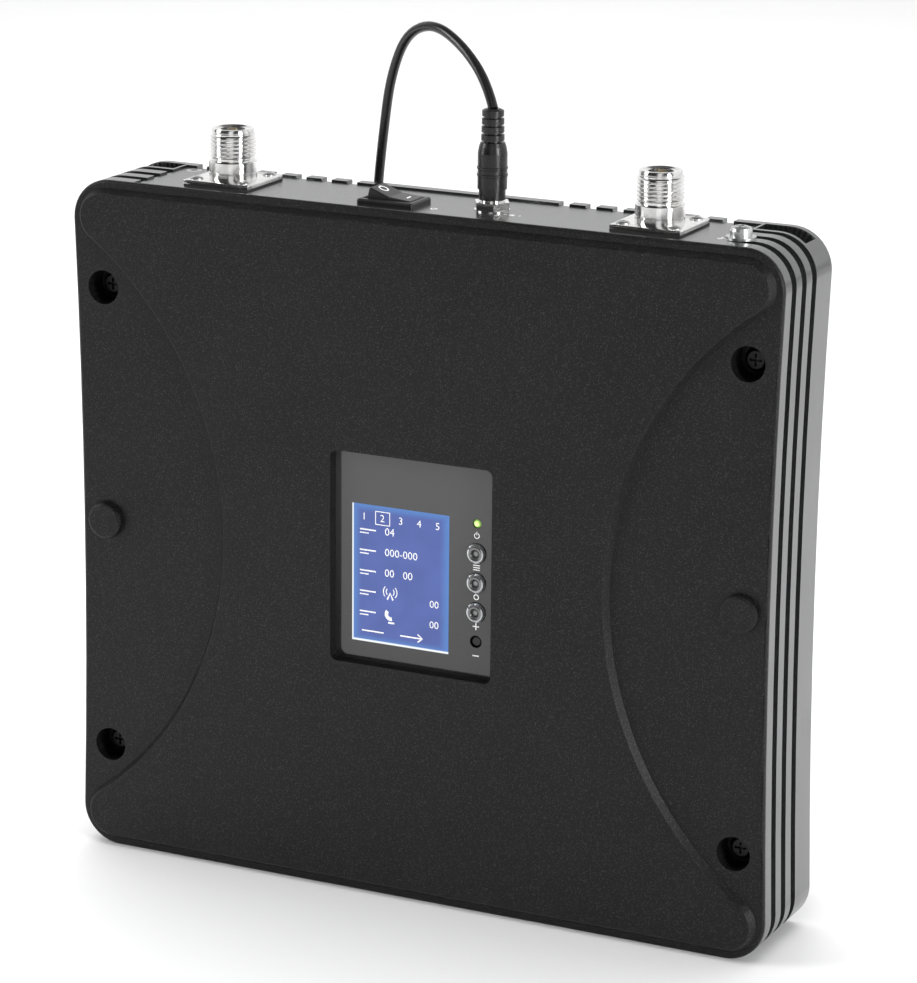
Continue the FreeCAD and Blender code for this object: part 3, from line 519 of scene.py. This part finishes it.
anodised = dark_anodising()
cover_black = textured_plastic("cover_black", 0.0045, 0.33, 0.05, 0.37, sparkle=0.15, gloss=1.32)
switch_black = textured_plastic("switch_black", 0.014, 0.4, 0.015, 0.34)
adapter_black = textured_plastic("adapter_black", 0.016, 0.8, 0.03, 0.5)
plating = bright_plating()
zinc = zinc_steel()
dark_zinc = black_zinc()
gold = gold_plating()
grip_rubber = soft_rubber("grip_rubber", 0.007, 0.28)
seal_rubber = soft_rubber("seal_rubber", 0.02, 0.7)
ptfe = textured_plastic("white_insulator", 0.75, 0.5, 0.01, 0.5)
# The white ink of the legends carries a faint painted glow.
white_ink_with_glow = glowing_print_finish("white_ink_with_glow", 0.85)
green_board = board_finish()
dark_moulding = textured_plastic("dark_moulding", 0.03, 0.6, 0.02, 0.5)

paint(anodised, "housing_shell", "top_panel", "bottom_panel")
paint(cover_black, "front_cover", "cover_plug_left", "cover_plug_right")
paint(switch_black, "switch_body", "rocker", "key_decrease")
paint(adapter_black, "adapter_housing")
paint(grip_rubber, "adapter_relief", "plug_grip")
paint(plating, "socket_nut", "socket_washer", "plug_barrel", "power_socket")
paint(dark_zinc, "cover_screws")
paint(zinc, "top_panel_screws", "bottom_panel_screws", "port_left_screws",
      "port_right_screws", "earth_washer", "earth_lock_washer", "earth_screw", "board_screws",
      "display_screws", "display_spacers", "shield_cans", "duplexers")
paint(gold, "port_left_contact", "port_right_contact", "socket_pin", "switch_terminals",
      "adapter_prongs", "pigtail_left", "pigtail_right")
paint(ptfe, "port_left_insulator", "port_right_insulator")
paint(seal_rubber, "port_left_seal", "port_right_seal")
paint(green_board, "main_board", "display_board")
paint(dark_moulding, "key_switches", "lcd_backlight", "display_ribbon", "power_module", "thermal_pads",
      "lcd_glass", "power_leads")
paint(smoked_window(), "display_window")
paint(lamp_finish(), "run_led")
for name, high in KEY_HEIGHTS.items():
    paint(key_finish(name + "_finish", high), name)

cord_curve.materials.append(cord_jacket())
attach(cord, "housing")
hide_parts("power_cord", "power_cord_coil", "power_cord_tail")

# ------------------------------------------------------ antenna connectors

PORT_X = 79.8
PORT_Y = 0.4
FLANGE_LOW = 242.8
FLANGE_TOP = 244.4
FLANGE_HALF = 12.7
THREAD_LOW = 251.2
THREAD_HIGH = 260.0
THREAD_R = 7.94
THREAD_PITCH = 1.35
AROUND = 96


def square_reach(half, corner, angle):
    """How far a square with round corners reaches in each direction from its middle:
    to a straight side, or by the quadratic formula to the arc of its corner."""
    across, along = np.abs(np.cos(angle)), np.abs(np.sin(angle))
    straight = half / np.maximum(across, along)
    inner = half - corner
    spread = (across + along) * inner
    round_part = spread + np.sqrt(np.maximum(spread ** 2 - 2 * inner ** 2 + corner ** 2, 0))
    in_corner = (np.minimum(across, along) * straight) > inner
    return np.where(in_corner, round_part, straight)


def flange(centre):
    """Plate from the barrel out over its top edge and back under: each ring blends
    from a circle to the round-cornered square."""
    angle = np.linspace(0, TURN, AROUND, endpoint=False)
    outer = square_reach(FLANGE_HALF, 0.8, angle)
    rings = [(8.0, 0, FLANGE_TOP), (outer - 0.35, 1, FLANGE_TOP), (outer - 0.1, 1, FLANGE_TOP - 0.1),
             (outer, 1, FLANGE_TOP - 0.35), (outer, 1, FLANGE_LOW + 0.2), (outer - 0.2, 1, FLANGE_LOW),
             (4.9, 0, FLANGE_LOW)]
    radii = np.stack([np.broadcast_to(ring[0], angle.shape) for ring in rings])
    return revolve(radii, [ring[2] for ring in rings], AROUND, centre)


def plain_rings(profile):
    """Each radius of a profile, repeated all the way round."""
    return np.stack([np.full(AROUND, radius) for radius, height in profile])


def threaded_barrel(centre):
    """Turned body: plain rings below and above a helical thread whose radius falls
    by half a millimetre between crests, the crest climbing one pitch a turn."""
    angle = np.linspace(0, TURN, AROUND, endpoint=False)
    below = [(8.3, FLANGE_TOP - 0.3), (8.3, 246.2), (8.05, 246.35), (8.05, 246.6), (8.3, 246.75),
             (8.3, 250.2), (8.0, 250.5), (7.1, 250.6), (7.1, 251.1)]
    height = np.linspace(THREAD_LOW, THREAD_HIGH, 66)
    phase = (height[:, None] - THREAD_PITCH * angle / TURN) / THREAD_PITCH
    tooth = np.abs((phase % 1) - 0.5) * 2
    crest = np.clip(tooth * 1.5 - 0.25, 0, 1)
    fade = np.clip(np.minimum(height - THREAD_LOW, THREAD_HIGH - height) / 0.6, 0, 1)[:, None]
    thread = THREAD_R - 0.62 * (1 - crest * fade)
    above = [(7.2, 260.05), (7.2, 261.2), (6.95, 261.6), (5.9, 261.6), (5.6, 261.3), (4.6, 261.3),
             (4.25, 261.0), (4.25, 249.7), (3.5, 249.6)]
    radii = np.vstack([plain_rings(below), thread, plain_rings(above)])
    heights = [ring[1] for ring in below] + list(height) + [ring[1] for ring in above]
    return revolve(radii, heights, AROUND, centre)


for name, side in (("left", -1), ("right", 1)):
    centre = (side * PORT_X, PORT_Y)
    shape = joined(flange(centre), threaded_barrel(centre))
    made = piece(f"connector_{name}", *shape, plating, slot="plated_metal",
                 replaces=[f"port_{name}_body"])
    split = made.modifiers.new("sharp", "EDGE_SPLIT")
    split.split_angle = math.radians(38)

# --------------------------------------------------------- screen and marks

PANE_Y = -18.3
INK = 0.02


def stroke(points, width):
    """Flat ribbon in the XZ plane, given by its centre line."""
    points = np.asarray(points, float)
    along = np.gradient(points, axis=0)
    along /= np.linalg.norm(along, axis=1)[:, None]
    off = np.stack([-along[:, 1], along[:, 0]], -1) * width / 2
    both = np.stack([points + off, points - off], 1).reshape(-1, 2)
    faces = [(2 * i, 2 * i + 1, 2 * i + 3, 2 * i + 2) for i in range(len(points) - 1)]
    return both, faces


def bar(x, z, wide, tall):
    """Filled rectangle about its middle."""
    return stroke([(x - wide / 2, z), (x + wide / 2, z)], tall)


def hoop(x, z, radius, width, start=0.0, sweep=1.0):
    """Part of a circle, drawn as a ribbon."""
    angle = TURN * (start + np.linspace(0, sweep, 25))
    return stroke(np.stack([x + radius * np.cos(angle), z + radius * np.sin(angle)], -1), width)


def frame_box(x, z, wide, tall, width):
    """Outline of a rectangle."""
    sides = [bar(x, z + tall / 2, wide + width, width), bar(x, z - tall / 2, wide + width, width),
             bar(x - wide / 2, z, width, tall), bar(x + wide / 2, z, width, tall)]
    return joined(*sides)


def figures(words, x, z, size):
    """Plain numerals as a flat outline, read from the built-in font."""
    text = bpy.data.curves.new("figures", "FONT")
    text.body = words
    text.size = size
    text.align_y = "CENTER"
    text.resolution_u = 3
    holder = bpy.data.objects.new("figures", text)
    mesh = bpy.data.meshes.new_from_object(holder)
    points = np.array([vertex.co[:2] for vertex in mesh.vertices]) + (x, z)
    faces = [tuple(face.vertices) for face in mesh.polygons]
    bpy.data.objects.remove(holder)
    bpy.data.curves.remove(text)
    bpy.data.meshes.remove(mesh)
    return points, faces


def upright_marks(name, shapes, depth_at, finish, slot, body="housing"):
    """Flat shapes stood up in the XZ plane, facing the front."""
    points, faces = joined(*shapes)
    stood = np.stack([points[:, 0], np.full(len(points), depth_at), points[:, 1]], -1)
    return piece(name, stood, faces, finish, body=body, slot=slot, smooth=False)


def flat_marks(name, shapes, height, finish, slot):
    """Flat shapes laid in the XY plane, facing up."""
    points, faces = joined(*shapes)
    laid = np.stack([points[:, 0], points[:, 1], np.full(len(points), height)], -1)
    return piece(name, laid, faces, finish, slot=slot, smooth=False)


left_edge = LCD_X - LCD_WIDE / 2
top_edge = LCD_Z + LCD_TALL / 2
screen = []
CHANNELS = 5
CHANNEL_STEP = 7.0
CHOSEN = 1
for index in range(CHANNELS):
    spot = left_edge + 4.6 + index * CHANNEL_STEP
    screen.append(figures(str(index + 1), spot - 1, top_edge - 4.4, 3.6))
    if index == CHOSEN:
        screen.append(frame_box(spot, top_edge - 4.3, 5.4, 4.6, 0.28))
FIRST_ROW = 8.9
ROW_STEP = 7.3
for index, words in enumerate(("04", "000-000", "00   00", "", "")):
    row = top_edge - FIRST_ROW - index * ROW_STEP
    screen.append(bar(left_edge + 6.0, row, 6.2, 0.5))
    screen.append(bar(left_edge + 4.6, row - 1.2, 3.4, 0.4))
    if words:
        screen.append(figures(words, left_edge + 12.4, row, 3.8))
    else:
        screen.append(figures("00", left_edge + 29.6, row - 1.4, 3.6))
mast = (left_edge + 14.6, top_edge - 30.4)
screen.append(stroke([(mast[0] - 1.1, mast[1] - 2.4), mast, (mast[0] + 1.1, mast[1] - 2.4)], 0.6))
for start in (-0.12, 0.38):
    for radius in (1.5, 2.6):
        screen.append(hoop(mast[0], mast[1] + 0.4, radius, 0.35, start, 0.24))
dish = (left_edge + 14.8, top_edge - 38.0)
screen.append(hoop(*dish, 1.6, 1.3, 0.38, 0.42))
screen.append(bar(dish[0] + 0.3, dish[1] - 3.0, 2.4, 0.6))
screen.append(bar(left_edge + 8.0, top_edge - 45.0, 8.4, 0.5))
screen.append(stroke([(left_edge + 18.5, top_edge - 45), (left_edge + 27, top_edge - 45)], 0.5))
screen.append(stroke([(left_edge + 25.2, top_edge - 43.6), (left_edge + 27, top_edge - 45),
                      (left_edge + 25.2, top_edge - 46.4)], 0.5))
upright_marks("screen_figures", screen, PANE_Y - INK, white_ink_with_glow, "clear_plastic")

LEGEND_DROP = 5.0
KEY_STEP = 10.4
legends = [
    hoop(KEY_X, LAMP_Z - 4.2, 0.9, 0.3, 0.32, 0.86),
    bar(KEY_X, LAMP_Z - 3.4, 0.3, 1.2),
]
menu_mark, set_mark, increase_mark = (high - LEGEND_DROP for high in KEY_HEIGHTS.values())
for lift in (-0.8, 0, 0.8):
    legends.append(bar(KEY_X, menu_mark + lift, 2.6, 0.35))
legends.append(hoop(KEY_X, set_mark, 0.85, 0.35))
for high in (increase_mark, increase_mark - KEY_STEP):
    legends.append(bar(KEY_X, high, 2.4, 0.4))
legends.append(bar(KEY_X, increase_mark, 0.4, 2.4))
upright_marks("key_legends", legends, PANE_Y - INK, white_ink_with_glow, "clear_plastic")

# --------------------------------------------------------- rocker marks

ROCKER_X = -14.8
ROCKER_Y = -5.4
PIVOT_Z = 241.8
ROCKER_TILT = math.radians(13)
ROCKER_MIDDLE = 3.6
ROCKER_SLOPE = 1.05 / 7.9


def on_rocker(shapes):
    """Marks laid on one sloping half of the rocker, then turned with it."""
    points, faces = joined(*shapes)
    high = ROCKER_MIDDLE + np.abs(points[:, 0]) * ROCKER_SLOPE + INK
    tilt = -ROCKER_TILT
    x = points[:, 0] * math.cos(tilt) - high * math.sin(tilt)
    z = points[:, 0] * math.sin(tilt) + high * math.cos(tilt)
    return np.stack([ROCKER_X + x, ROCKER_Y + points[:, 1], PIVOT_Z + z], -1), faces


marks = joined(on_rocker([hoop(-4.9, 0, 1.6, 0.5)]), on_rocker([bar(4.8, 0, 0.6, 3.0)]))
piece("rocker_marks", *marks, white_ink_with_glow, body="rocker", slot="white_plastic", smooth=False)

# ------------------------------------------------------------ top legends

TOP_Z = 242.3
top_marks = [
    hoop(1.2, -7.4, 1.0, 0.3, 0.32, 0.86), bar(1.2, -6.5, 0.3, 1.3),
    hoop(29.0, -4.8, 0.9, 0.25, 0.08, 0.84), hoop(29.0, -4.8, 0.35, 0.5),
    bar(26.4, -4.8, 1.2, 0.25), bar(31.6, -4.8, 1.2, 0.25), bar(31.6, -4.8, 0.25, 1.2),
]
flat_marks("panel_legends", top_marks, TOP_Z + INK, white_ink_with_glow, "white_plastic")
earth_marks = [bar(104.2, -5.3, 0.3, 2.2), bar(104.2, -6.4, 2.8, 0.3), bar(104.2, -7.1, 1.8, 0.3),
               bar(104.2, -7.8, 0.8, 0.3)]
flat_marks("earth_legend", earth_marks, TOP_Z + INK, white_ink_with_glow, "white_plastic")

# ----------------------------------------------------------- corner ribs

RIB_PITCH = 1.8
RIB_HALF = 0.45
RIB_TOP = 13.75
POCKET_START = 109.5
POCKET_REACH = 12.3
CORNER_FROM = 8.5
CORNER_HIGH = 229.0
POCKET_BACK = 19.6
POCKET_FLOOR = 10.6


def corner_ribs():
    """Short upright ribs on the back wall of both corner pockets: along the flat,
    then fanned round the corner's centre by equal arcs."""
    points, faces = [], []
    places = [(distance, 0.0) for distance in np.arange(0.9, 8.4, RIB_PITCH)]
    places += [(CORNER_FROM, angle) for angle in np.arange(0.06, 0.66, RIB_PITCH / POCKET_REACH)]
    for side in (-1, 1):
        for distance, lean in places:
            base = np.array([POCKET_START + distance, CORNER_HIGH])
            out = np.array([math.sin(lean), math.cos(lean)])
            across = np.array([out[1], -out[0]])
            corners = [base + out * reach + across * shift
                       for reach in (POCKET_FLOOR - 0.1, RIB_TOP) for shift in (-RIB_HALF, RIB_HALF)]
            start = len(points)
            for deep in (POCKET_BACK + 0.1, POCKET_BACK - 0.7):
                points += [(side * x, deep, z) for x, z in corners]
            faces += [tuple(start + i for i in face) for face in
                      ((4, 5, 7, 6), (4, 6, 2, 0), (5, 1, 3, 7), (6, 7, 3, 2), (4, 0, 1, 5))]
    return np.array(points), faces


piece("corner_ribs", *corner_ribs(), anodised, slot="anodised_aluminium", smooth=False)

# ------------------------------------------------------- table and lights

floor_mesh = bpy.data.meshes.new("table")
floor_mesh.from_pydata([(-4, -3, 0), (4, -3, 0), (4, 9, 0), (-4, 9, 0)], [], [(0, 1, 2, 3)])
table_finish = Finish("table_white", Roughness=0.6)
table_finish.set("Base Color", table_finish.mix(table_finish.noise(60), grey(0.82), grey(0.84)))
floor_mesh.materials.append(table_finish.material)
floor = bpy.data.objects.new("table", floor_mesh)
bpy.context.collection.objects.link(floor)


def softbox(name, place, aim, wide, tall, power):
    """Rectangular soft light that faces its aim."""
    lamp = bpy.data.lights.new(name, "AREA")
    lamp.shape = "RECTANGLE"
    lamp.size = wide
    lamp.size_y = tall
    lamp.energy = power
    made = bpy.data.objects.new(name, lamp)
    made.location = place
    made.rotation_euler = (Vector(aim) - Vector(place)).to_track_quat("-Z", "Y").to_euler()
    bpy.context.collection.objects.link(made)
    return made


overhead = softbox("light_above", (-0.3, 0.7, 2.2), (0, 0.6, 0), 3.0, 3.0, 90)
overhead.visible_glossy = False
softbox("light_left", (-1.6, -0.9, 1.0), (0, 0, 0.14), 0.6, 1.3, 19)
softbox("light_right", (1.6, -0.6, 0.55), (0, 0, 0.12), 0.3, 1.0, 22)

# The studio is white behind, with one white strip between dark flags on the camera's
# side, and dim overhead. Where it is seen directly it is plain white.
world = bpy.data.worlds.new("studio")
world.use_nodes = True
sky = world.node_tree
toward = sky.nodes.new("ShaderNodeTexCoord")
parts = sky.nodes.new("ShaderNodeSeparateXYZ")
sky.links.new(toward.outputs["Generated"], parts.inputs[0])


def sky_ramp(axis, low, high, start, finish):
    """Smooth step over one part of the direction that a ray takes."""
    made = sky.nodes.new("ShaderNodeMapRange")
    made.interpolation_type = "SMOOTHSTEP"
    for name, value in (("From Min", low), ("From Max", high), ("To Min", start), ("To Max", finish)):
        made.inputs[name].default_value = value
    sky.links.new(parts.outputs[axis], made.inputs["Value"])
    return made.outputs["Result"]


def sky_maths(operation, first, second):
    """The product, the lesser or the greater of two brightnesses."""
    made = sky.nodes.new("ShaderNodeMath")
    made.operation = operation
    sky.links.new(first, made.inputs[0])
    sky.links.new(second, made.inputs[1])
    return made.outputs[0]


FLAG = 0.03
STRIP = 0.9
strip = sky_maths("MINIMUM", sky_ramp("X", 0.08, 0.16, FLAG, STRIP),
                  sky_ramp("X", 0.44, 0.52, STRIP, FLAG))
sides = sky_maths("MAXIMUM", sky_ramp("Y", -0.12, 0.12, FLAG, 1.0), strip)
shaped = sky_maths("MULTIPLY", sides, sky_ramp("Z", 0.45, 0.85, 1.0, 0.12))
both = sky_maths("MAXIMUM", shaped, sky.nodes.new("ShaderNodeLightPath").outputs["Is Camera Ray"])
studio = sky.nodes["Background"]
studio.inputs["Color"].default_value = (1, 1, 1, 1)
sky.links.new(both, studio.inputs["Strength"])
bpy.context.scene.world = world
bpy.context.scene.view_settings.view_transform = "Standard"
